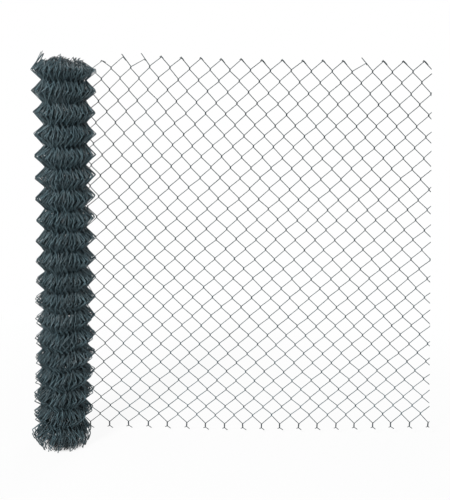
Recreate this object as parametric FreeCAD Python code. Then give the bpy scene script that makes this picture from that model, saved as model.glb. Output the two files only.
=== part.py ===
import FreeCAD, Part
import math
import os

# A roll of chain link fence mesh that stands on its end, with a stretch unrolled beside it.
# Millimetres. The roll's axis is Z with the floor at Z = 0, the unrolled stretch leaves the
# back of the roll towards +X, and -Y is the side that is looked at.

# Wire and mesh
WIRE_DIAMETER = 2.8        # steel core with its coat
DIAMOND_HEIGHT = 80.0      # between two nodes of one column
COLUMN_STEP = 38.5         # half a diamond, and the width of one woven picket
HALF_ROWS = 37             # half diamonds between the twisted edge and the knuckled edge
ROW_STRETCH = 0.032        # share by which the top diamonds are taller and the bottom ones lower
MESH_DEPTH = 4.5           # between the front legs and the back legs of a picket
BEND_RISE = 3.0            # how far a bend climbs on its way from front to back
HOOK_CLEARANCE = 0.3       # between two wires that hook or lie side by side

# Lower edge, where the wires are twisted in pairs and their ends are splayed
FOOT_HEIGHT = 32.0         # floor to the lowest nodes
TWIST_STEP = 1.9           # drop of the twist for each sixth of a turn
TWIST_SIXTHS = 9           # sixths of a turn in a twisted pair
TWIST_START = 3.0          # below the node
LEFT_BARB = 8.0            # how far the left barb reaches from the twist
RIGHT_BARB = 11.0          # how far the right barb reaches from the twist

# Upper edge, where the wires are knuckled in pairs
KNUCKLE_TAIL = 20.0        # end that is folded down beside the next wire
KNUCKLE_HOOK = 8.0         # end that is folded over the last wire

# Unrolled stretch
PANEL_PICKETS = 39
PANEL_LEAN = 73.0          # the top edge stands this far along +X from the bottom edge
TRIM_FOOT = 1489.0         # the mesh is cut off along a line: its X at the lowest nodes
TRIM_TOP = 1388.0          # and at the highest nodes

# Roll
ROLL_RADIUS = 115.5        # to the outermost folds
FOLD_ANGLE = 13.5          # of a folded picket from the roll's radius, in degrees
LEAVE_ANGLE = 29.5         # from the roll's back to its last fold, in degrees
ROLL_LEAN = 22.0           # the roll's top stands this far along +X from its foot
ROLL_BOW = 6.0             # at half its height the roll bulges this far along +X
ROLL_WAIST = 5.0           # at half its height the roll is this much slimmer all round
TURN_PITCH = 21.0          # how far each turn lies inside the last one
ROLL_TURNS = 2             # turns, counted from the outside
ROLL_LIFT = 20.0           # the roll's lowest nodes stand this much higher than the flat stretch's
STEM_LEAN = 12.0           # how far the lower ends of the roll lean inwards

# Derived sizes
PANEL_SIDES = 6
ROLL_SIDES = 4
HALF_DEPTH = MESH_DEPTH / 2
HALF_RISE = BEND_RISE / 2
ROW_STEP = DIAMOND_HEIGHT / 2
MESH_HEIGHT = HALF_ROWS * ROW_STEP
LEG_SLOPE = math.atan2(ROW_STEP, COLUMN_STEP)


def corner_radius(sides):
    """Distance from a wire's line to its corners, for the section area of the round wire."""
    round_area = math.pi * WIRE_DIAMETER ** 2 / 4
    return math.sqrt(2 * round_area / (sides * math.sin(2 * math.pi / sides)))


PANEL_CORNER = corner_radius(PANEL_SIDES)
ROLL_CORNER = corner_radius(ROLL_SIDES)
ROLL_HALF_WIDTH = ROLL_CORNER * math.cos(math.pi / ROLL_SIDES)
HOOK_OFFSET = PANEL_CORNER + HOOK_CLEARANCE / 2
TWIST_RADIUS = HOOK_OFFSET / math.cos(math.pi / 6)
FOLD_SPAN = COLUMN_STEP * math.sin(math.radians(FOLD_ANGLE))
FOLD_DEPTH = COLUMN_STEP * math.cos(math.radians(FOLD_ANGLE))
LOBES_PER_TURN = round(math.pi * (ROLL_RADIUS - FOLD_DEPTH / 2) / FOLD_SPAN)
PICKETS_PER_TURN = 2 * LOBES_PER_TURN
PICKET_TURN = 2 * math.pi / PICKETS_PER_TURN
LAST_FOLD_ANGLE = math.radians(LEAVE_ANGLE)
PANEL_PLANE = ROLL_RADIUS
LAST_FOLD_GAP = PANEL_PLANE - ROLL_RADIUS * math.cos(LAST_FOLD_ANGLE)
PANEL_START = math.sqrt(COLUMN_STEP ** 2 - LAST_FOLD_GAP ** 2) - ROLL_RADIUS * math.sin(LAST_FOLD_ANGLE)
ROLL_TIP = ROLL_HALF_WIDTH / math.cos(LEG_SLOPE)


def vector(plan, height):
    return FreeCAD.Vector(plan[0], plan[1], height)


def row_height(row):
    """Height of a row of nodes. The mesh hangs, so the diamonds grow towards the top."""
    stretch = ROW_STRETCH * (row / HALF_ROWS - 1)
    return FOOT_HEIGHT + row * ROW_STEP * (1 + stretch)


def fold_radius(columns_in, outer):
    """Radius of a fold line of the roll, so many columns in from where the mesh leaves it."""
    outside = ROLL_RADIUS - TURN_PITCH * columns_in / PICKETS_PER_TURN
    if outer:
        return outside
    across = outside * math.sin(PICKET_TURN)
    return outside * math.cos(PICKET_TURN) - math.sqrt(COLUMN_STEP ** 2 - across ** 2)


def height_share(height):
    """0 at the lowest nodes and 1 at the height of the mesh."""
    return (height - FOOT_HEIGHT) / MESH_HEIGHT


def roll_axis(height):
    """Plan place of the roll's middle line, which leans and bows."""
    rise = height_share(height)
    return FreeCAD.Vector(ROLL_LEAN * rise + ROLL_BOW * 4 * rise * (1 - rise), 0, 0)


def hinge(column, height):
    """Plan place of a column of nodes. Column 0 starts the flat stretch at floor level."""
    rise = height_share(height)
    along = column * COLUMN_STEP + PANEL_LEAN * rise
    flat = FreeCAD.Vector(PANEL_START + along, PANEL_PLANE, 0)
    if along >= 0:
        return flat
    columns_in = -along / COLUMN_STEP
    angle = math.pi / 2 + LAST_FOLD_ANGLE + PICKET_TURN * (columns_in - 1)
    radius = fold_radius(columns_in, column % 2 == 1) - ROLL_WAIST * 4 * rise * (1 - rise)
    folded = roll_axis(height) + FreeCAD.Vector(math.cos(angle), math.sin(angle), 0) * radius
    share = min(1.0, columns_in / 2)
    return flat * (1 - share) + folded * share


def slide(point, along, origin, normal):
    """Moves a point along a line until it meets a plane."""
    return point + along * ((origin - point).dot(normal) / along.dot(normal))


def bent_wire(points, sides, corner, face_normal):
    """A mitred bar of a few sides along points, cut level where it starts."""
    along = [(end - start).normalize() for start, end in zip(points, points[1:])]
    across = along[0].cross(face_normal).normalize()
    outward = along[0].cross(across)
    ring = []
    for side in range(sides):
        angle = 2 * math.pi * (side + 0.5) / sides
        spoke = across * (corner * math.cos(angle)) + outward * (corner * math.sin(angle))
        ring.append(slide(points[0] + spoke, along[0], points[0], FreeCAD.Vector(0, 0, 1)))
    rings = [ring]
    for index in range(1, len(points)):
        last = index == len(along)
        normal = along[-1] if last else along[index - 1] + along[index]
        ring = [slide(point, along[index - 1], points[index], normal) for point in ring]
        rings.append(ring)
    outlines = [rings[0], rings[-1]]
    for lower, upper in zip(rings, rings[1:]):
        for side in range(sides):
            after = (side + 1) % sides
            outlines.append([lower[side], lower[after], upper[after], upper[side]])
    faces = [Part.Face(Part.makePolygon(outline + outline[:1])) for outline in outlines]
    shell = Part.Shell(faces)
    shell.sewShape()
    solid = Part.Solid(shell)
    if solid.Volume < 0:
        solid.reverse()
    return solid


def ends_right(picket, row):
    """Whether a picket's wire is at its right column in this row."""
    return (picket + row) % 2 == 0


def panel_bend(column, right, height):
    """The two points of a bend: from front to back on the right, from back to front on the left."""
    reach = HOOK_OFFSET if right else -HOOK_OFFSET
    depth = HALF_DEPTH if right else -HALF_DEPTH
    low = hinge(column, height - HALF_RISE) + FreeCAD.Vector(reach, -depth, height - HALF_RISE)
    high = hinge(column, height + HALF_RISE) + FreeCAD.Vector(reach, depth, height + HALF_RISE)
    return [low, high]


def twisted_foot(column, right):
    """A wire's lower end, from its barb on the floor up round its partner to the node."""
    axis = hinge(column, FOOT_HEIGHT)
    top = FOOT_HEIGHT - TWIST_START
    start = math.pi / 2 if right else -math.pi / 2
    turns = []
    for sixth in range(TWIST_SIXTHS + 1):
        angle = start - sixth * math.pi / 3
        offset = FreeCAD.Vector(math.cos(angle), math.sin(angle), 0) * TWIST_RADIUS
        turns.append(axis + offset + FreeCAD.Vector(0, 0, top - sixth * TWIST_STEP))
    reach = -LEFT_BARB if right else RIGHT_BARB
    barb = FreeCAD.Vector(turns[-1].x + reach, turns[-1].y, 0)
    return [barb] + turns[::-1]


def knuckled_end(column, right):
    """A wire's upper end: folded down beside the next wire, or hooked over the last one."""
    height = row_height(HALF_ROWS)
    low, high = panel_bend(column, right, height)
    down = -math.sin(LEG_SLOPE)
    if right:
        tail = FreeCAD.Vector(math.cos(LEG_SLOPE), 0, down) * KNUCKLE_TAIL
        return [low, low + tail]
    over = FreeCAD.Vector(high.x, high.y - 2 * HOOK_OFFSET, high.z)
    hook = FreeCAD.Vector(-math.cos(LEG_SLOPE), 0, down) * KNUCKLE_HOOK
    return [low, over, over + hook]


def rows_left(picket):
    """Rows of a picket below the line where the mesh is cut off."""
    row = 0
    while row < HALF_ROWS:
        height = row_height(row + 1)
        if hinge(picket + 1, height).x > TRIM_FOOT + (TRIM_TOP - TRIM_FOOT) * height_share(height):
            break
        row += 1
    return row


def panel_wire(picket):
    """One flattened spiral of the unrolled stretch, hooked into its neighbours at every bend."""
    points = twisted_foot(picket + ends_right(picket, 0), ends_right(picket, 0))
    rows = rows_left(picket)
    for row in range(1, min(rows + 1, HALF_ROWS)):
        right = ends_right(picket, row)
        points += panel_bend(picket + right, right, row_height(row))
    if rows == HALF_ROWS:
        right = ends_right(picket, HALF_ROWS)
        points += knuckled_end(picket + right, right)
    return bent_wire(points, PANEL_SIDES, PANEL_CORNER, FreeCAD.Vector(0, 1, 0))


def roll_point(picket, row):
    """Where the wire of a folded picket turns in this row: beside the fold line, clear of its neighbour."""
    right = ends_right(picket, row)
    column = picket + right
    quarter_turns = -4 * column / PICKETS_PER_TURN
    height = row_height(row) + ROLL_LIFT * (1 - row / HALF_ROWS) * min(1.0, quarter_turns)
    place = hinge(column, height)
    inward = (hinge(picket + 1 - right, height) - place).normalize()
    if column == 0:
        stop = HOOK_OFFSET + PANEL_CORNER + HOOK_CLEARANCE + ROLL_TIP
        return vector(place + inward * stop, height)
    radial = (place - roll_axis(height)).normalize()
    round_roll = inward - radial * inward.dot(radial)
    slant = round_roll.Length
    aside = HOOK_CLEARANCE / 2 + ROLL_TIP * slant + ROLL_HALF_WIDTH * math.sqrt(1 - slant ** 2)
    return vector(place + round_roll.normalize() * aside, height)


def roll_wire(picket):
    """One folded picket of the roll, from its lower end on the floor to the inner top edge."""
    points = [roll_point(picket, row) for row in range(HALF_ROWS + 1)]
    outward = FreeCAD.Vector(points[0].x, points[0].y, 0).normalize()
    foot = points[0] - outward * STEM_LEAN
    points.insert(0, vector(foot, 0))
    chord = points[2] - points[1]
    face_normal = chord.cross(FreeCAD.Vector(0, 0, 1)).normalize()
    return bent_wire(points, ROLL_SIDES, ROLL_CORNER, face_normal)


def write_step(name, shape):
    shape.exportStep(os.path.join("parts", name + ".step"))


os.makedirs("parts", exist_ok=True)
for picket in range(PANEL_PICKETS):
    write_step("panel_picket_%02d" % (picket + 1), panel_wire(picket))
for turn in range(ROLL_TURNS):
    first = -1 - turn * PICKETS_PER_TURN
    wires = [roll_wire(first - index) for index in range(PICKETS_PER_TURN)]
    write_step("roll_turn_%d" % (turn + 1), Part.makeCompound(wires))
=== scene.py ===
# %% [markdown]
# # A roll of chain link fence, partly unrolled
# A roll of coated wire mesh stands on its end, and a stretch of it is unrolled to the right as a flat
# panel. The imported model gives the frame: where the roll stands, how high it is and how far the panel
# reaches. Its wires are plain bars of a few sides. Here each one is drawn again as a round, bent and coated
# wire.

# %% Load the frame
import bpy
import math
import numpy as np
from mathutils import Matrix, Vector


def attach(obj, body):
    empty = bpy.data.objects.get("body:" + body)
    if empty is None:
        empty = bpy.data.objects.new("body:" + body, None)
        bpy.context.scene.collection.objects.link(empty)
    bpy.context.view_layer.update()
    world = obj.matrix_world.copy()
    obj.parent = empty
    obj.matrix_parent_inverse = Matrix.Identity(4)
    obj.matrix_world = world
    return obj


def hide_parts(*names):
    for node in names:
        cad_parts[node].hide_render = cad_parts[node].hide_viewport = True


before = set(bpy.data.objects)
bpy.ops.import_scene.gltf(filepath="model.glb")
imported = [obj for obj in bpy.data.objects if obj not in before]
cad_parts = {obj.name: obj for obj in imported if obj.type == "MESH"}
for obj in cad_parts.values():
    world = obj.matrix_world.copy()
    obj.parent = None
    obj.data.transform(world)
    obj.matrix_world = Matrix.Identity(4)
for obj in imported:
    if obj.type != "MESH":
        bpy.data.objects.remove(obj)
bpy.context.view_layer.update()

# %% [markdown]
# ## Sizes of the mesh
# A chain link mesh has few numbers: the wire, the diamond and the number of rows. All lengths are in
# metres. A picket is one wire, bent flat into a zigzag between two columns of nodes, and it hooks into the
# next picket at every bend. The columns and the half rows are half a diamond apart. The lowest nodes stand
# a little above the floor, on the twisted ends of the wires.

# %% Wire and mesh sizes
WIRE_DIAMETER = 0.0028
WIRE_RADIUS = WIRE_DIAMETER / 2
COLUMN_STEP = 0.0385
ROW_STEP = 0.040
HALF_ROWS = 37
MESH_HEIGHT = HALF_ROWS * ROW_STEP
FOOT_HEIGHT = 0.032
print("mesh height", MESH_HEIGHT, "diamond", 2 * COLUMN_STEP, "by", 2 * ROW_STEP)

# %% [markdown]
# ## Camera
# The picture was taken from the front, a little above the top of the roll, and the roll stands at its left
# edge. A camera could be aimed by eye. This one was solved from the nodes of the panel, so its lens is
# given as a focal length in pixels. The picture was cropped, so its optical axis isn't in the middle: the
# camera's shift says by how much. Blender counts lens and shift along the longer side of the picture, which
# is its height.

# %% Camera
IMAGE_WIDTH = 450
IMAGE_HEIGHT = 500
FOCAL_PIXELS = 939.8
AXIS_COLUMN = 185.0
SENSOR_SIZE = 36.0
CAMERA_PLACE = (0.4784, -3.4892, 1.6090)
LOOK_DOWN = math.radians(13.111)
LOOK_LEFT = math.radians(0.097)
CAMERA_ROLL = math.radians(0.901)

bpy.ops.object.select_all(action='DESELECT')
bpy.ops.object.camera_add(location=CAMERA_PLACE)
camera = bpy.context.object
camera.name = "photo_camera"
heading = Matrix.Rotation(LOOK_LEFT, 3, 'Z')
tilt = Matrix.Rotation(math.pi / 2 - LOOK_DOWN, 3, 'X')
slant = Matrix.Rotation(CAMERA_ROLL, 3, 'Z')
camera.rotation_euler = (heading @ tilt @ slant).to_euler()
camera.data.sensor_width = SENSOR_SIZE
camera.data.lens = FOCAL_PIXELS * SENSOR_SIZE / IMAGE_HEIGHT
camera.data.shift_x = (IMAGE_WIDTH / 2 - AXIS_COLUMN) / IMAGE_HEIGHT
bpy.context.scene.camera = camera
print("lens", round(camera.data.lens, 1), "mm, shift", camera.data.shift_x)

# %% [markdown]
# ## Shapes for gentle bends
# Mesh that was rolled up and pulled out again is never even: it sags, leans and bulges. A lattice cage or
# proportional editing could push it about by hand. Here every bend is made of three simple shapes, because
# a formula moves neighbouring pickets alike and keeps them hooked together. In all of them, rise is the
# height above the lowest nodes as a share of the mesh's height.

# %% Ramp, hump and fading
def ramp(value, start, end):
    """0 up to the start, 1 from the end on, and straight between them. It may run either way."""
    return np.clip((value - start) / (end - start), 0, 1)


def hump(value, middle, width):
    """1 in the middle, falling softly to 0 on both sides."""
    return np.exp(-((value - middle) / width) ** 2)


def fading(distance, reach):
    """1 where the distance is 0 or less, then falling softly to 0."""
    return np.exp(-np.maximum(distance, 0) / reach)


print("halfway:", ramp(0.5, start=0, end=1), hump(0.5, middle=0, width=1), fading(0.5, reach=1))

# %% [markdown]
# ## The line of the mesh, seen from above
# From above the mesh is one long line: it leaves the back of the roll and runs flat to the right, and
# inside the roll it is folded like a screen, out at one column and in at the next. The outer folds lie on a
# spiral. Columns are counted from the start of the flat stretch, to the right from 0 and into the roll from
# -1.

# %% Spiral of the outer folds
ROLL_RADIUS = 0.1155
TURN_PITCH = 0.0055
PICKETS_PER_TURN = 68
FOLD_STEP = 2 * math.pi * ROLL_RADIUS / PICKETS_PER_TURN
LAST_FOLD_ANGLE = math.radians(29.5)
LAST_FOLD_GAP = ROLL_RADIUS * (1 - math.cos(LAST_FOLD_ANGLE))
PANEL_PLANE = ROLL_RADIUS
PANEL_START = math.sqrt(COLUMN_STEP ** 2 - LAST_FOLD_GAP ** 2) - ROLL_RADIUS * math.sin(LAST_FOLD_ANGLE)


def outer_radius(columns_in):
    """Radius of the outer folds: a spiral in which the folds keep their distance from each other."""
    return np.sqrt(ROLL_RADIUS ** 2 - TURN_PITCH * FOLD_STEP * columns_in / math.pi)


def wound_angle(columns_in):
    """Direction from the roll's axis to a fold line."""
    turns = (ROLL_RADIUS - outer_radius(columns_in)) / TURN_PITCH
    return math.pi / 2 + LAST_FOLD_ANGLE + 2 * math.pi * turns - FOLD_STEP / ROLL_RADIUS


print("panel starts at x =", round(PANEL_START, 4), "in the plane y =", PANEL_PLANE)

# %% [markdown]
# ## How the folds stray
# No two folds of a real roll are alike. They lean round the roll in groups, each one wanders a little by
# itself, and near the floor, where nothing holds them, they wander most. Random moves for each wire could
# do this too, but neighbours would come apart. Here each column has its own dice, seeded by its number, so
# both wires that meet there stray alike. The numbers inside the sines say how quickly a wave changes round
# the roll and up it.

# %% Lean and wander of a fold
OUTER_LEAN = 0.05
INNER_LEAN = 0.2
FOLD_SEED = 1000
OUTWARD_SPREAD = 0.0022
OUTWARD_WAVES = (0.002, 0.0014)
ROUND_SPREAD = 0.016
ROUND_WAVES = (0.014, 0.01)
LOOSE_FOOT = 0.6
FOOT_DRAWN_IN = (0.004, 0.022)
FOOT_SWAY = 0.14


def fold_lean(column, rise):
    """Angle by which a fold leans round the roll, with its neighbours. The inner folds lean further."""
    if column % 2:
        return OUTER_LEAN * np.sin(0.31 * column + 4 * rise + 1)
    return INNER_LEAN * np.sin(0.24 * column + 3 * np.sin(4 * rise))


def fold_wander(column, rise):
    """How far a fold line strays, outwards and round the roll. Its lower end leans in and sways."""
    dice = np.random.default_rng(FOLD_SEED - column)
    phases = dice.uniform(0, 2 * math.pi, 4)
    outward = dice.normal(0, OUTWARD_SPREAD)
    outward = outward + OUTWARD_WAVES[0] * np.sin(9 * rise + phases[0])
    outward = outward + OUTWARD_WAVES[1] * np.sin(23 * rise + phases[1])
    round_by = dice.normal(0, ROUND_SPREAD)
    round_by = round_by + ROUND_WAVES[0] * np.sin(7 * rise + phases[2])
    round_by = round_by + ROUND_WAVES[1] * np.sin(19 * rise + phases[3])
    loose = 1 + LOOSE_FOOT * ramp(rise, start=1, end=0) ** 2
    below = ramp(rise * MESH_HEIGHT, start=0, end=-FOOT_HEIGHT)
    drawn_in = below * dice.uniform(*FOOT_DRAWN_IN)
    sway = below * dice.normal(0, FOOT_SWAY)
    return outward * loose - drawn_in, round_by * loose + sway


print("at half height fold -1 strays by", fold_wander(-1, 0.5))

# %% [markdown]
# ## How the flat stretch is bent
# The stretch was pulled out of the roll by hand, so its columns aren't straight. Its upper edge is pushed
# to the right beside the roll, its middle is still pulled towards the roll, and its foot stands a little to
# the right. Each of these is one line of the formula, with its size in metres and its place along the
# stretch and up it.

# %% Bends along the flat stretch
TOP_PUSH = 0.0215
EDGE_PUSH = 0.009
MIDDLE_PULL = 0.0135
EDGE_SPREAD = 0.0042
RIGHT_SHIFT = 0.0025
LOW_LEAN = 0.006
FOOT_SHIFT = 0.007
ROLL_SIDE = 0.129
CLEAR_OF_ROLL = 0.21
SPREAD_LENGTH = 0.9


def panel_bend(x, rise):
    """How far a point of the flat stretch is moved to the right."""
    near_roll = ramp(x, start=0.35, end=0.15)
    past_roll = np.maximum(x - CLEAR_OF_ROLL, 0)
    top = ramp(rise, start=0.72, end=0.98)
    top_edge = fading(1 - rise, reach=0.03)
    pushed = TOP_PUSH * top ** 2 * (3 - 2 * top) * fading(x - ROLL_SIDE, reach=0.185)
    edge = EDGE_PUSH * top_edge * ramp(x, start=ROLL_SIDE, end=0.205) * fading(x - 0.25, reach=0.2)
    pulled_at = 0.5 + 0.35 * past_roll
    pulled = MIDDLE_PULL * hump(rise, middle=pulled_at, width=0.18) * fading(past_roll, reach=0.45)
    both_edges = ramp(rise, start=0.7, end=0) + top_edge
    spread = EDGE_SPREAD * np.sin(math.pi * past_roll / SPREAD_LENGTH) * both_edges
    shifted = RIGHT_SHIFT * ramp(past_roll, start=0.3, end=0.6) * ramp(rise, start=0.35, end=0.5)
    leaning = LOW_LEAN * hump(rise, middle=0.22, width=0.08) * near_roll
    foot = FOOT_SHIFT * hump(rise, middle=0, width=0.12) * (1 - near_roll)
    return pushed - pulled + edge + spread + shifted + leaning + foot


print("beside the roll the stretch is moved by", panel_bend(CLEAR_OF_ROLL, np.array([0, 0.5, 1])).round(4))

# %% [markdown]
# ## Where a column stands
# Now one function can give the plan place of any column at any height, for the panel and for the roll. The
# roll isn't a plain cylinder: it leans to the right, it is narrower at half its height and wider at its
# ends, and its right side bulges low down. The first two columns go over from the flat stretch to the
# folds.

# %% Place of a column
PANEL_LEAN = 0.073
ROLL_LEAN = 0.022
ROLL_BOW = 0.006
ROLL_WAIST = 0.005
INNER_EASE = 0.003
LEAN_EASE = 0.12
END_FLARE = 0.004
RIGHT_BULGE = 0.006
FOOT_TUCK = 0.012


def fold_place(column, columns_in, rise):
    """Plan place of a fold of the roll. Odd columns are the outer folds, even columns the inner ones."""
    outside = outer_radius(columns_in)
    lean = fold_lean(column, rise)
    inside = outside * np.cos(FOLD_STEP / outside) - math.sqrt(COLUMN_STEP ** 2 - FOLD_STEP ** 2)
    inside = inside + INNER_EASE + LEAN_EASE * lean ** 2
    outward, round_by = fold_wander(column, rise)
    angle = wound_angle(columns_in) + lean + round_by
    belly = 4 * rise * (1 - rise)
    right_side = np.clip(np.cos(angle), 0, 1)
    bulge = RIGHT_BULGE * hump(rise, middle=0.3, width=0.15) - FOOT_TUCK * fading(rise, reach=0.03)
    flare = END_FLARE * (2 * rise - 1) ** 6 + bulge * right_side
    radius = (outside if column % 2 else inside) + outward + flare - ROLL_WAIST * belly
    middle = ROLL_LEAN * rise + ROLL_BOW * belly
    return np.stack([radius * np.cos(angle) + middle, radius * np.sin(angle)])


def column_place(column, height):
    """Plan place of a column of nodes. Column 0 starts the flat stretch at floor level."""
    rise = (height - FOOT_HEIGHT) / MESH_HEIGHT
    along = column * COLUMN_STEP + PANEL_LEAN * np.maximum(rise, 0)
    flat_x = PANEL_START + along
    flat = np.stack([flat_x + panel_bend(flat_x, rise), np.full_like(along, PANEL_PLANE)])
    if column >= 0:
        return flat
    columns_in = np.maximum(-along / COLUMN_STEP, 0)
    share = ramp(columns_in, start=0, end=2)
    return flat * (1 - share) + fold_place(column, columns_in, rise) * share


print("column 10 stands at", column_place(10, np.array([FOOT_HEIGHT]))[:, 0].round(4))

# %% [markdown]
# ## How the rows hang
# The rows aren't level either. Under their own weight the lower rows are a little closer together than the
# upper ones. On the roll the rows climb towards its right side, dip in front, and its upper ends are
# pressed down. On the flat stretch the lower right corner is lifted, and the middle sags.

# %% Lift of the rows
ROW_STRETCH = 0.032
ROLL_LIFT = 0.020
RIGHT_LIFT = 0.018
FRONT_DROP = 0.015
TOP_DROP = 0.016
END_SCATTER = 0.006
ROW_WANDER = 0.005
FOOT_WANDER = 0.007
INNER_WANDER = 0.009


def row_height(z):
    """Height above the floor of a point of a picket that was drawn with equal rows."""
    hung = z * (1 + ROW_STRETCH * (z / MESH_HEIGHT - 1))
    return FOOT_HEIGHT + np.where(z > 0, hung, z)


def roll_lift(column, columns_in, rise, top_end):
    """How far the roll's rows hang above their drawn height."""
    angle = wound_angle(columns_in)
    right_side = 0.5 + 0.5 * np.cos(angle)
    front = np.clip(-np.sin(angle), 0, 1) ** 2
    climb = ROLL_LIFT * (1 - rise) + RIGHT_LIFT * (1 - rise ** 2) * right_side
    dip = FRONT_DROP * front * (1 - rise) ** 3
    loose = ROW_WANDER + FOOT_WANDER * (1 - rise) ** 2
    slow = np.sin(0.55 * column + 1.3 * np.sin(7 * rise))
    quick = np.sin(1.7 * column + 5 * rise + 2)
    wander = 0.6 * slow + 0.4 * quick
    pressed = TOP_DROP * (1 + right_side ** 2) + END_SCATTER * np.sin(2.39 * column)
    inner = ramp(columns_in, start=PICKETS_PER_TURN, end=2 * PICKETS_PER_TURN)
    inner_wander = INNER_WANDER * inner * np.sin(columns_in / 9)
    return climb + loose * wander - dip - pressed * top_end + inner_wander


print("the top nodes hang at", row_height(np.array([MESH_HEIGHT])).round(3))

# %% Lift of the flat stretch, and of the whole mesh
CORNER_LIFT = 0.024
EDGE_LIFT = 0.005
LEFT_LIFT = 0.0095
UPPER_LIFT = 0.006
PANEL_SAG = 0.0042
LOW_SAG = 0.00336
UPPER_RELIEF = 0.6


def panel_lift(column, rise, top_end):
    """How far the rows of the flat stretch hang above their drawn height."""
    along = np.maximum(column, 0) * COLUMN_STEP
    upper = ramp(rise, start=0.65, end=0.95)
    corner = CORNER_LIFT * ramp(along, start=0.15, end=1.45) * (1 - rise) ** 3
    right_edge = EDGE_LIFT * ramp(along, start=0.85, end=1.45) ** 2
    left_foot = LEFT_LIFT * ramp(along, start=0.65, end=0.35) * (1 - rise) ** 16
    raised = UPPER_LIFT * hump(along, middle=0.27, width=0.15) * upper
    pressed = TOP_DROP * ramp(column, start=4, end=2) * top_end
    hanging = (1 - fading(rise, reach=0.04)) * (1 - UPPER_RELIEF * upper)
    sag = PANEL_SAG * ramp(along, start=1.26, end=0.96) * hanging
    low_sag = LOW_SAG * ramp(along, start=0.3, end=0.15) * hump(rise, middle=0.16, width=0.08)
    return corner + right_edge + left_foot + raised - pressed - sag - low_sag


def row_lift(column, z):
    """Lift of a point of the mesh. The roll's barbs stay on the floor, except on its left side."""
    rise = np.clip(z / MESH_HEIGHT, 0, 1)
    top_end = fading(1 - rise, reach=0.02)
    columns_in = np.maximum(-column, 0)
    rolled = ramp(columns_in, start=0, end=PICKETS_PER_TURN / 4)
    left_side = np.clip(-np.cos(wound_angle(columns_in)), 0, 1) ** 2
    standing = 1 - ramp(z, start=0, end=-FOOT_HEIGHT) * (1 - left_side)
    lifted = roll_lift(column, columns_in, rise, top_end) * standing
    return lifted * rolled + panel_lift(column, rise, top_end) * (1 - rolled)


print("the lower right corner is lifted by", row_lift(np.array([38.0]), np.array([0.0])).round(4))

# %% [markdown]
# ## The line of one picket
# Before there is a wire there is its line. A picket is drawn flat and straight, with its left column at
# the origin: legs that climb to the right in front, legs that climb back to the left behind, and a short
# step from front to back at every bend. A helix that is scaled flat would come near it, but its legs
# wouldn't be straight. The lower end is twisted round its neighbour and ends in a barb.

# %% Bends and feet of a picket's line
HALF_DEPTH = 0.00225
HALF_RISE = 0.0015
HOOK_CLEARANCE = 0.0001
HOOK_OFFSET = WIRE_RADIUS + HOOK_CLEARANCE
TWIST_CLEARANCE = 0.00005
TWIST_RADIUS = WIRE_RADIUS + TWIST_CLEARANCE
TWIST_START = 0.003
TWIST_DROP = 0.0171
TWIST_TURNS = 1.5
LEFT_BARB = 0.008
RIGHT_BARB = 0.014
CLOSED_BARB = 0.4


def bend_points(row, right):
    """The step from front to back at a right bend, or from back to front at a left bend."""
    side = 1 if right else -1
    x = COLUMN_STEP + HOOK_OFFSET if right else -HOOK_OFFSET
    low = Vector((x, -side * HALF_DEPTH, row * ROW_STEP - HALF_RISE))
    high = Vector((x, side * HALF_DEPTH, row * ROW_STEP + HALF_RISE))
    return [low, high]


def foot_points(right, steps, splayed):
    """The barb, then the twist up to the lowest node. Splayed barbs spread, and the left one lies level."""
    axis_x = COLUMN_STEP if right else 0.0
    start = math.pi / 2 if right else -math.pi / 2
    twist = []
    for step in range(steps + 1):
        angle = start - 2 * math.pi * TWIST_TURNS * step / steps
        drop = TWIST_START + TWIST_DROP * step / steps
        beside = TWIST_RADIUS * Vector((math.cos(angle), math.sin(angle), 0))
        twist.append(beside + Vector((axis_x, 0, -drop)))
    tip = twist[-1].copy()
    tip.x += (-LEFT_BARB if right else RIGHT_BARB) * (1 if splayed else CLOSED_BARB)
    tip.z = tip.z - WIRE_DIAMETER if right and splayed else WIRE_RADIUS - FOOT_HEIGHT
    return [tip] + twist[::-1]


print("a barb and its twist reach down to", round(foot_points(False, steps=12, splayed=True)[0].z, 4))

# %% [markdown]
# ## Upper ends
# Most upper ends are knuckled: folded down beside the neighbour, or hooked over it. A few were never
# folded over and stand up stray, and then the neighbour, with nothing to hold it up, slips down the stray
# leg. Each kind is a short list of points that finishes the line. The last few millimetres at both ends
# get a point of their own, because there the steel shows.

# %% Tops of a picket's line
KNUCKLE_TAIL = 0.020
KNUCKLE_HOOK = 0.008
SLIP = 0.014
BARE_END = 0.006
LEG_SLOPE = math.atan2(ROW_STEP, COLUMN_STEP)


def stray_points(right, slope, tail):
    """Upper end that was never folded over: its leg runs on, straight."""
    last_bend = bend_points(HALF_ROWS - 1, not right)[1]
    side = 1 if right else -1
    length = COLUMN_STEP / math.cos(LEG_SLOPE) + tail
    return [last_bend + Vector((side * math.cos(slope), 0, math.sin(slope))) * length]


def slipped_points(right):
    """Upper end that slipped down a neighbour's stray end, and is hooked over it there."""
    side = 1 if right else -1
    down_leg = Vector((side * math.cos(LEG_SLOPE), 0, -math.sin(LEG_SLOPE)))
    hold = bend_points(HALF_ROWS, right)[0] + down_leg * SLIP
    return [hold, hold + down_leg * KNUCKLE_HOOK]


def knuckle_points(right):
    """Upper end that is folded down beside the neighbour, or hooked over it."""
    low, high = bend_points(HALF_ROWS, right)
    down = -math.sin(LEG_SLOPE)
    if right:
        return [low, low + Vector((math.cos(LEG_SLOPE), 0, down)) * KNUCKLE_TAIL]
    over = high - Vector((0, 2 * HOOK_OFFSET, 0))
    return [low, over, over + Vector((-math.cos(LEG_SLOPE), 0, down)) * KNUCKLE_HOOK]


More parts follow.
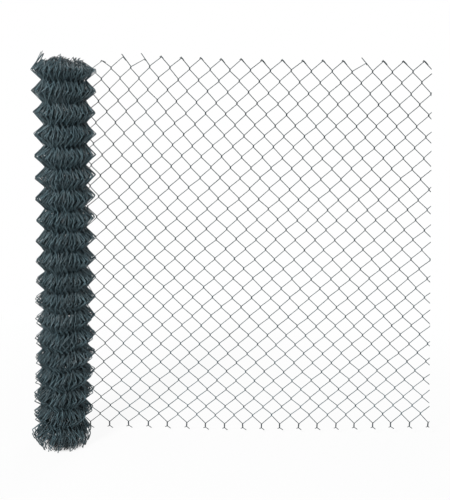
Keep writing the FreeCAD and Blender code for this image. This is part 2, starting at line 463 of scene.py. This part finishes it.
def picket_line(starts_right, top_points, twist_steps, splayed):
    """All the points of a picket, from its barb to the end of its top."""
    points = foot_points(starts_right, twist_steps, splayed)
    for row in range(1, HALF_ROWS):
        points += bend_points(row, starts_right == (row % 2 == 0))
    points += top_points
    bare_foot = points[0] + (points[1] - points[0]).normalized() * BARE_END
    bare_top = points[-1] + (points[-2] - points[-1]).normalized() * BARE_END
    return [points[0], bare_foot] + points[1:-1] + [bare_top, points[-1]]


example = picket_line(True, knuckle_points(False), twist_steps=12, splayed=True)
print("points in a picket's line:", len(example))

# %% [markdown]
# ## From the line to a round wire
# A wire could be a circle that is extruded leg by leg. It is quicker to draw the line first: one vertex is
# extruded from point to point, a vertex bevel rounds the corners as the bending machine does, and the line
# then becomes a curve whose round bevel is the wire's thickness. Turned back into a mesh, it gets its end
# caps sewn on. Two numbers are kept on the points for the material: how bare the wire is there, and the
# tone of its coat.

# %% Drawing the line
BEND_TRIM = 0.0024


def draw_line(name, points):
    """A mesh of one line: a plane is merged into one vertex, which is extruded from point to point."""
    bpy.ops.object.select_all(action='DESELECT')
    bpy.ops.mesh.primitive_plane_add(size=WIRE_DIAMETER, location=points[0])
    line = bpy.context.object
    line.name = name
    bpy.ops.object.transform_apply(location=True)
    bpy.ops.object.mode_set(mode='EDIT')
    bpy.ops.mesh.select_all(action='SELECT')
    bpy.ops.mesh.merge(type='CENTER')
    for start, end in zip(points, points[1:]):
        bpy.ops.mesh.extrude_vertices_move(TRANSFORM_OT_translate={"value": end - start})
    bpy.ops.mesh.select_all(action='DESELECT')
    bpy.ops.object.mode_set(mode='OBJECT')
    return line


def round_bends(line, bend_steps):
    """Bevels the corners at the nodes. The twist and the barb keep theirs."""
    for vertex in line.data.vertices:
        row = round(vertex.co.z / ROW_STEP)
        near_bend = abs(vertex.co.z - row * ROW_STEP) < 2 * HALF_RISE
        vertex.select = row > 0 and near_bend
    bpy.ops.object.mode_set(mode='EDIT')
    bpy.ops.mesh.bevel(offset=BEND_TRIM, offset_type='OFFSET', segments=bend_steps, affect='VERTICES')
    bpy.ops.object.mode_set(mode='OBJECT')


# %% From the line to the wire
SMOOTH_ANGLE = math.radians(60)


def mark_ends(wire, points):
    """Keeps on each point how bare the wire is, and makes room for the tone of its coat."""
    places = np.array([vertex.co for vertex in wire.data.vertices])
    ends = np.array([points[0], points[-1]])
    nearest = np.min(np.linalg.norm(places[:, None] - ends[None], axis=2), axis=1)
    bare = wire.data.attributes.new("bare_end", 'FLOAT', 'POINT')
    bare.data.foreach_set("value", (nearest < 2 * WIRE_RADIUS).astype(np.float32))
    wire.data.attributes.new("coat_tone", 'FLOAT', 'POINT')


def wire_from_line(name, points, radius, bend_steps, round_steps):
    """A round wire along the points, with closed ends."""
    wire = draw_line(name, points)
    if bend_steps:
        round_bends(wire, bend_steps)
    bpy.ops.object.convert(target='CURVE')
    wire.data.bevel_depth = radius
    wire.data.bevel_resolution = round_steps
    wire.data.use_fill_caps = True
    bpy.ops.object.convert(target='MESH')
    bpy.ops.object.mode_set(mode='EDIT')
    bpy.ops.mesh.select_all(action='SELECT')
    bpy.ops.mesh.remove_doubles(threshold=WIRE_RADIUS / 100)
    bpy.ops.mesh.normals_make_consistent(inside=False)
    bpy.ops.object.mode_set(mode='OBJECT')
    bpy.ops.object.shade_smooth_by_angle(angle=SMOOTH_ANGLE)
    mark_ends(wire, points)
    print(name, "has", len(wire.data.polygons), "faces")
    return wire


# %% [markdown]
# ## Patterns to copy
# Pickets come in two hands, because a twist holds the right end of one picket and the left end of the next.
# The panel's wires stand alone against the light, so they are rounder than the roll's. They are also drawn
# a tenth thicker: in the picture they are thinner than a pixel, and would come out too pale. The wires deep
# in the roll, which only show between the others, have no more faces than they need.

# %% Patterns
PANEL_THICKENING = 1.1
WIRE_FINISH = {
    "panel": {"radius": PANEL_THICKENING * WIRE_RADIUS, "bend_steps": 3, "round_steps": 2},
    "roll": {"radius": WIRE_RADIUS, "bend_steps": 1, "round_steps": 1},
    "core": {"radius": WIRE_RADIUS, "bend_steps": 0, "round_steps": 0},
}
FOOT_FINISH = {
    "panel": {"twist_steps": 12, "splayed": True},
    "roll": {"twist_steps": 8, "splayed": False},
    "core": {"twist_steps": 4, "splayed": False},
}
STRAY_END = {
    "panel": {"slope": LEG_SLOPE, "tail": 0.012},
    "roll": {"slope": math.radians(56), "tail": 0.026},
}
patterns = {}
for place in WIRE_FINISH:
    for starts_right in (True, False):
        tops = {"knuckled": knuckle_points(not starts_right)}
        if place in STRAY_END:
            tops["stray"] = stray_points(not starts_right, **STRAY_END[place])
        if place == "panel":
            tops["slipped"] = slipped_points(not starts_right)
        for top, top_points in tops.items():
            name = "%s_pattern_%d_%s" % (place, starts_right, top)
            line = picket_line(starts_right, top_points, **FOOT_FINISH[place])
            patterns[place, starts_right, top] = wire_from_line(name, line, **WIRE_FINISH[place])

# %% [markdown]
# ## Hanging a picket in its place
# A copy of a pattern is still flat and straight. Its points are moved to lie between its two columns: x
# becomes the share of the way from the left column to the right one, y the distance from the line between
# them. A curve modifier follows one line only, and a picket lies between two. On top of the bends come
# gentle waves, which all pickets follow, so that neighbours stay hooked. Each wave has a size, the radians
# that it turns for a metre along and up, and a start.

# %% Hanging
ALONG_WAVES = ((0.0011, 12, 31, 0), (0.0008, -41, 67, 1))
OUT_WAVES = ((0.002, 5, 3, 0), (0.0008, 29, 17, 0))
UP_WAVES = ((0.0010, 38, 9, 0), (0.0007, 71, -33, 2))
TONE_SEED = 5000


def mesh_wave(waves, x, height):
    """Unevenness of the unrolled mesh in one direction, as a sum of waves."""
    return sum(size * np.sin(along * x + up * height + start) for size, along, up, start in waves)


def hang_picket(name, pattern, picket, tones, paler_foot=0.0):
    """A copy of a pattern, hung between its columns, with a tone that may grow paler towards the floor."""
    wire = pattern.copy()
    wire.data = pattern.data.copy()
    wire.name = name
    wire.data.name = name
    bpy.context.collection.objects.link(wire)
    places = np.empty(3 * len(wire.data.vertices))
    wire.data.vertices.foreach_get("co", places)
    x, y, z = places.reshape(-1, 3).T
    height = row_height(z)
    left = column_place(picket, height)
    chord = column_place(picket + 1, height) - left
    normal = np.stack([-chord[1], chord[0]]) / np.hypot(chord[0], chord[1])
    plan_x, plan_y = left + chord * x / COLUMN_STEP + normal * y
    placed_x = plan_x + mesh_wave(ALONG_WAVES, plan_x, height)
    placed_y = plan_y + mesh_wave(OUT_WAVES, plan_x, height)
    up = mesh_wave(UP_WAVES, plan_x, height) * ramp(z, start=0, end=ROW_STEP)
    placed_z = np.maximum(height + up + row_lift(picket + x / COLUMN_STEP, z), 0)
    wire.data.vertices.foreach_set("co", np.stack([placed_x, placed_y, placed_z], axis=1).ravel())
    tone = np.random.default_rng(TONE_SEED + picket).uniform(*tones)
    tone = tone + paler_foot * ramp(height, start=MESH_HEIGHT, end=0) ** 2 * (z > 0)
    wire.data.attributes["coat_tone"].data.foreach_set("value", tone)
    wire.data.update()
    return wire


print("waves move the foot of column 0 by", mesh_wave(ALONG_WAVES, PANEL_START, FOOT_HEIGHT).round(5))

# %% [markdown]
# ## The unrolled panel
# Each picket stands for the plain one of the imported model, one for one. At the right the mesh is cut off
# along a straight line that leans the other way from the pickets. A boolean could cut it, but a bisect with
# that plane is quicker and closes the cuts too. Short ends of the next pickets stay hooked in the last
# nodes, one picket more than were packed. The coat is paler towards the floor.

# %% Panel pickets
PANEL_PICKETS = sum(node.startswith("panel_picket_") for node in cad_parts)
PANEL_TONES = (0.0, 0.2)
PALER_FOOT = 0.8
PANEL_TOPS = {4: "stray", 5: "slipped", 6: "stray", 27: "slipped", 28: "stray"}
TRIM_FOOT = 1.489
TRIM_TOP = 1.388
CUT_ACROSS = Vector((MESH_HEIGHT, 0, TRIM_FOOT - TRIM_TOP)).normalized()
FIRST_CUT_PICKET = int((TRIM_TOP - PANEL_START - PANEL_LEAN) / COLUMN_STEP) - 1


def cut_off(wire):
    """Removes what lies beyond the line where the mesh ends."""
    bpy.ops.object.select_all(action='DESELECT')
    wire.select_set(True)
    bpy.context.view_layer.objects.active = wire
    bpy.ops.object.mode_set(mode='EDIT')
    bpy.ops.mesh.select_all(action='SELECT')
    start = (TRIM_FOOT, 0, FOOT_HEIGHT)
    bpy.ops.mesh.bisect(plane_co=start, plane_no=CUT_ACROSS, use_fill=True, clear_outer=True)
    bpy.ops.object.mode_set(mode='OBJECT')


pieces = []
for picket in range(PANEL_PICKETS + 1):
    pattern = patterns["panel", picket % 2 == 0, PANEL_TOPS.get(picket, "knuckled")]
    wire = hang_picket("panel_wire_%02d" % (picket + 1), pattern, picket, PANEL_TONES, PALER_FOOT)
    if picket >= FIRST_CUT_PICKET:
        cut_off(wire)
    if picket < PANEL_PICKETS:
        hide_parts("panel_picket_%02d" % (picket + 1))
    pieces.append(wire)
print("panel wires:", len(pieces), "cut from number", FIRST_CUT_PICKET + 1)

# %% [markdown]
# ## The roll
# The roll is the same mesh, folded at every column and wound in turns that nest inside each other. The
# pickets are hung as the panel's are and then joined, a turn to a piece. The imported model has its outer
# turns only. The others show through the folds and from above, so they are wound here too. Their darker
# tone is painted shade, where the outer turns shade them. The outer turns reach a lighter tone than the
# panel's wires: painted highlights, over a random tone for each wire. In a few places on top there is a
# tuft, where some of the upper ends stand up stray.

# %% Turns of the roll
ROLL_TURNS = 12
PACKED_TURNS = sum(node.startswith("roll_turn_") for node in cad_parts)
# The outer turns reach lighter tones than the panel's wires: painted highlights, over a random tone for
# each wire.
OUTER_TONES = (0.1, 1.0)
# The inner turns are darker: painted shade, where the outer turns shade them.
SHADED_INNER_TONES = (0.0, 0.35)
TUFTS = (
    {"direction": 180, "half_width": 24, "turns": 2},
    {"direction": 262, "half_width": 12, "turns": 1},
)
STRAY_EVERY = 3


def in_tuft(picket, turn):
    """Whether a picket's upper end stands up stray. A tuft's direction and half width are in degrees."""
    angle = math.degrees(wound_angle(-picket - PANEL_LEAN / COLUMN_STEP))
    for tuft in TUFTS:
        away = (angle - tuft["direction"] + 180) % 360 - 180
        if abs(away) < tuft["half_width"] and turn < tuft["turns"] and picket % STRAY_EVERY == 0:
            return True
    return False


picket = -1
for turn in range(ROLL_TURNS):
    packed = turn < PACKED_TURNS
    tones = OUTER_TONES if packed else SHADED_INNER_TONES
    bpy.ops.object.select_all(action='DESELECT')
    wires = []
    while outer_radius(-picket) > ROLL_RADIUS - (turn + 1) * TURN_PITCH:
        top = "stray" if in_tuft(picket, turn) else "knuckled"
        pattern = patterns["roll" if packed else "core", picket % 2 == 0, top]
        wire = hang_picket("roll_wire_%03d" % -picket, pattern, picket, tones)
        wire.select_set(True)
        wires.append(wire)
        picket -= 1
    bpy.context.view_layer.objects.active = wires[0]
    bpy.ops.object.join()
    roll_turn = wires[0]
    roll_turn.name = "roll_wires_turn_%d" % (turn + 1)
    if packed:
        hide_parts("roll_turn_%d" % (turn + 1))
    pieces.append(roll_turn)
    print(roll_turn.name, "has", len(wires), "wires and", len(roll_turn.data.polygons), "faces")

for pattern in patterns.values():
    bpy.data.objects.remove(pattern)

# %% [markdown]
# ## The coat
# The wire is galvanised steel in a dark slate green plastic coat. A single colour would look like paint, so
# the coat is drawn from its parts: a tone for each wire, paler patches that are partly worn coat and partly
# painted highlights on single legs, dust in a fine mottle, and a grain like the skin of an orange. The
# patches, the dust and the mottle are the same noise at three scales, so that noise is a node group, placed
# three times. The grain is a group of its own.

# %% Node helpers
def new_group(name, output):
    """A shader group with a scale to set and one value to give out."""
    group = bpy.data.node_groups.new(name, 'ShaderNodeTree')
    group.interface.new_socket("Scale", in_out='INPUT', socket_type='NodeSocketFloat')
    group.interface.new_socket(output, in_out='OUTPUT', socket_type='NodeSocketFloat')
    taken_in = group.nodes.new('NodeGroupInput')
    given_out = group.nodes.new('NodeGroupOutput')
    return group, taken_in.outputs["Scale"], given_out.inputs[output]


def object_noise(tree, scale, detail, roughness):
    """A noise that is fixed to the object."""
    place = tree.nodes.new('ShaderNodeTexCoord')
    noise = tree.nodes.new('ShaderNodeTexNoise')
    noise.inputs["Detail"].default_value = detail
    noise.inputs["Roughness"].default_value = roughness
    tree.links.new(place.outputs["Object"], noise.inputs["Vector"])
    tree.links.new(scale, noise.inputs["Scale"])
    return noise.outputs["Fac"]


def stretch_values(tree, value, low, high):
    """Spreads the values between low and high over 0 to 1."""
    node = tree.nodes.new('ShaderNodeMapRange')
    node.inputs["From Min"].default_value = low
    node.inputs["From Max"].default_value = high
    tree.links.new(value, node.inputs["Value"])
    return node.outputs["Result"]


# %% Fade and grain groups
patch_noise_group, scale, fade = new_group("wear_dust_and_highlight_noise", "Fade")
noise = object_noise(patch_noise_group, scale, detail=5.0, roughness=0.6)
patch_noise_group.links.new(stretch_values(patch_noise_group, noise, low=0.3, high=0.7), fade)

grain_group, scale, grain = new_group("skin_grain", "Grain")
noise = object_noise(grain_group, scale, detail=3.0, roughness=0.55)
grain_group.links.new(noise, grain)
print("groups:", patch_noise_group.name, grain_group.name)


# %% Helpers for the material
def use_group(tree, group, scale):
    """Places a group in a material, at its own scale."""
    node = tree.nodes.new('ShaderNodeGroup')
    node.node_tree = group
    node.inputs["Scale"].default_value = scale
    return node.outputs[0]


def mix_colour(tree, factor, first, second):
    """Mixes two colours. A Mix node has sockets for each kind of data: those for colours are 6, 7 and 2."""
    node = tree.nodes.new('ShaderNodeMix')
    node.data_type = 'RGBA'
    tree.links.new(factor, node.inputs["Factor"])
    for socket, colour in ((node.inputs[6], first), (node.inputs[7], second)):
        if isinstance(colour, tuple):
            socket.default_value = colour
        else:
            tree.links.new(colour, socket)
    return node.outputs[2]


def mesh_value(tree, name):
    """A number that is kept on the points of the mesh."""
    node = tree.nodes.new('ShaderNodeAttribute')
    node.attribute_name = name
    return node.outputs["Fac"]


def calculate(tree, operation, first, second):
    """A Math node with two values, each a number or another node's output."""
    node = tree.nodes.new('ShaderNodeMath')
    node.operation = operation
    for socket, value in zip(node.inputs, (first, second)):
        if isinstance(value, float):
            socket.default_value = value
        else:
            tree.links.new(value, socket)
    return node.outputs["Value"]


# %% Colours of the coat
COAT_DARK = (0.011, 0.025, 0.031, 1)
COAT_LIGHT = (0.098, 0.164, 0.190, 1)
COAT_DUSTY = (0.15, 0.19, 0.20, 1)
STEEL = (0.15, 0.155, 0.155, 1)
DUST_SCALE = 9.0
# Scale and gain of the paler patches: partly worn coat, partly painted highlights on single legs.
WEAR_AND_HIGHLIGHT_SCALE = 55.0
MOTTLE_SCALE = 140.0
WEAR_AND_HIGHLIGHT_GAIN = 1.7
DUST_SHARE = 0.45

coat = bpy.data.materials.new("coated_wire")
coat.use_nodes = True
tree = coat.node_tree
shader = tree.nodes["Principled BSDF"]
bare = mesh_value(tree, "bare_end")
mottle = use_group(tree, patch_noise_group, MOTTLE_SCALE)
# Paler patches on the coat: partly worn coat, partly painted highlights on single legs.
worn_and_highlit = calculate(tree, 'MULTIPLY', use_group(tree, patch_noise_group, WEAR_AND_HIGHLIGHT_SCALE), WEAR_AND_HIGHLIGHT_GAIN)
tone = calculate(tree, 'MULTIPLY', mesh_value(tree, "coat_tone"), worn_and_highlit)
by_wire = mix_colour(tree, tone, COAT_DARK, COAT_LIGHT)
dusty = calculate(tree, 'MULTIPLY', use_group(tree, patch_noise_group, DUST_SCALE), mottle)
dust = calculate(tree, 'MULTIPLY', dusty, DUST_SHARE)
coloured = mix_colour(tree, dust, by_wire, COAT_DUSTY)
tree.links.new(mix_colour(tree, bare, coloured, STEEL), shader.inputs["Base Color"])
print("coat from", COAT_DARK[:3], "to", COAT_LIGHT[:3])

# %% Gloss and grain of the coat
STEEL_METALLIC = 0.5
COAT_SPECULAR = 0.3
LEAST_ROUGHNESS = 0.3
ROUGHNESS_RANGE = 0.2
GRAIN_SCALE = 900.0
GRAIN_STRENGTH = 0.25
GRAIN_DEPTH = 0.0002

tree.links.new(calculate(tree, 'MULTIPLY', bare, STEEL_METALLIC), shader.inputs["Metallic"])
shader.inputs["Specular IOR Level"].default_value = COAT_SPECULAR
rough = calculate(tree, 'ADD', calculate(tree, 'MULTIPLY', mottle, ROUGHNESS_RANGE), LEAST_ROUGHNESS)
tree.links.new(rough, shader.inputs["Roughness"])
bump = tree.nodes.new('ShaderNodeBump')
bump.inputs["Strength"].default_value = GRAIN_STRENGTH
bump.inputs["Distance"].default_value = GRAIN_DEPTH
tree.links.new(use_group(tree, grain_group, GRAIN_SCALE), bump.inputs["Height"])
tree.links.new(bump.outputs["Normal"], shader.inputs["Normal"])
for piece in pieces:
    piece.data.materials.clear()
    piece.data.materials.append(coat)
    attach(piece, "root")
print("pieces with the coat:", len(pieces))

# %% [markdown]
# ## Floor
# The studio is white. More light would bleach the wires along with the floor, so the floor is a plain pale
# sheet, mixed towards the camera with a white glow that runs into the white behind it without an edge.
# Round the fence the glow is a little weaker, so that a soft shadow shows, and under the roll it is off.

# %% Floor sheet
FLOOR_SIZE = 40.0
FLOOR_MIDDLE = (0.6, 0.0, 0.0)
bpy.ops.object.select_all(action='DESELECT')
bpy.ops.mesh.primitive_plane_add(size=FLOOR_SIZE, location=FLOOR_MIDDLE)
floor = bpy.context.object
floor.name = "studio_floor"
bpy.ops.object.transform_apply(location=True)
print(floor.name, "is", FLOOR_SIZE, "m wide")

# %% Floor paper
PAPER_WHITE = (0.92, 0.92, 0.92, 1)
PAPER_ROUGHNESS = 0.9
SHADOW_SHARE = 0.08


def seen_rays(tree):
    """1 for rays from the camera, and for those that reach it by a mirror or through glass."""
    rays = tree.nodes.new('ShaderNodeLightPath')
    first = calculate(tree, 'MAXIMUM', rays.outputs["Is Camera Ray"], rays.outputs["Is Glossy Ray"])
    return calculate(tree, 'MAXIMUM', first, rays.outputs["Is Transmission Ray"])


def near_point(tree, middle, near, far):
    """1 on the floor round a point, 0 away from it."""
    place = tree.nodes.new('ShaderNodeTexCoord')
    distance = tree.nodes.new('ShaderNodeVectorMath')
    distance.operation = 'DISTANCE'
    distance.inputs[1].default_value = middle
    tree.links.new(place.outputs["Object"], distance.inputs[0])
    return calculate(tree, 'SUBTRACT', 1.0, stretch_values(tree, distance.outputs["Value"], near, far))


paper = bpy.data.materials.new("studio_paper")
paper.use_nodes = True
tree = paper.node_tree
shader = tree.nodes["Principled BSDF"]
shader.inputs["Base Color"].default_value = PAPER_WHITE
shader.inputs["Roughness"].default_value = PAPER_ROUGHNESS
around = calculate(tree, 'MULTIPLY', near_point(tree, FLOOR_MIDDLE, near=0.9, far=2.0), SHADOW_SHARE)
under_roll = near_point(tree, (0.0, 0.0, 0.0), near=0.05, far=0.098)
shadow = calculate(tree, 'MAXIMUM', around, under_roll)
white = calculate(tree, 'MULTIPLY', seen_rays(tree), calculate(tree, 'SUBTRACT', 1.0, shadow))
glow = tree.nodes.new('ShaderNodeEmission')
blend = tree.nodes.new('ShaderNodeMixShader')
tree.links.new(white, blend.inputs["Fac"])
tree.links.new(shader.outputs["BSDF"], blend.inputs[1])
tree.links.new(glow.outputs["Emission"], blend.inputs[2])
tree.links.new(blend.outputs["Shader"], tree.nodes["Material Output"].inputs["Surface"])
floor.data.materials.append(paper)
print("paper keeps", SHADOW_SHARE, "of the shadow round the fence")

# %% [markdown]
# ## Light
# A studio lights such goods evenly. A sky alone would leave the wires flat, and lamps alone would leave
# hard shadows, so there are both: a dim white sky all round, a strong lamp from the upper left, a weak one
# from the right, and one behind for the views from there. Rays that are seen find a white sky.

# %% Sky
SKY_LIGHT = 0.25
world = bpy.data.worlds.new("studio_sky")
world.use_nodes = True
bpy.context.scene.world = world
tree = world.node_tree
sky = tree.nodes["Background"]
sky.inputs["Color"].default_value = (1, 1, 1, 1)
strength = calculate(tree, 'MULTIPLY', seen_rays(tree), 1 - SKY_LIGHT)
tree.links.new(calculate(tree, 'ADD', strength, SKY_LIGHT), sky.inputs["Strength"])
print("sky lights with", SKY_LIGHT)

# %% Lamps
LAMP_AIM = Vector((0.6, 0.0, 0.75))
LAMPS = {
    "key_lamp": {"place": (-1.8, -3.4, 4.0), "size": 1.1, "power": 210},
    "fill_lamp": {"place": (3.4, -3.0, 2.2), "size": 2.4, "power": 20},
    "back_lamp": {"place": (1.6, 4.0, 3.0), "size": 2.4, "power": 70},
}


def add_lamp(name, place, size, power):
    """A square lamp that is turned to the fence."""
    bpy.ops.object.light_add(type='AREA', location=place)
    lamp = bpy.context.object
    lamp.name = name
    lamp.data.size = size
    lamp.data.energy = power
    direction = LAMP_AIM - Vector(place)
    lamp.rotation_euler = direction.to_track_quat('-Z', 'Y').to_euler()


for name, lamp in LAMPS.items():
    add_lamp(name, **lamp)
bpy.context.scene.view_settings.view_transform = 'Standard'
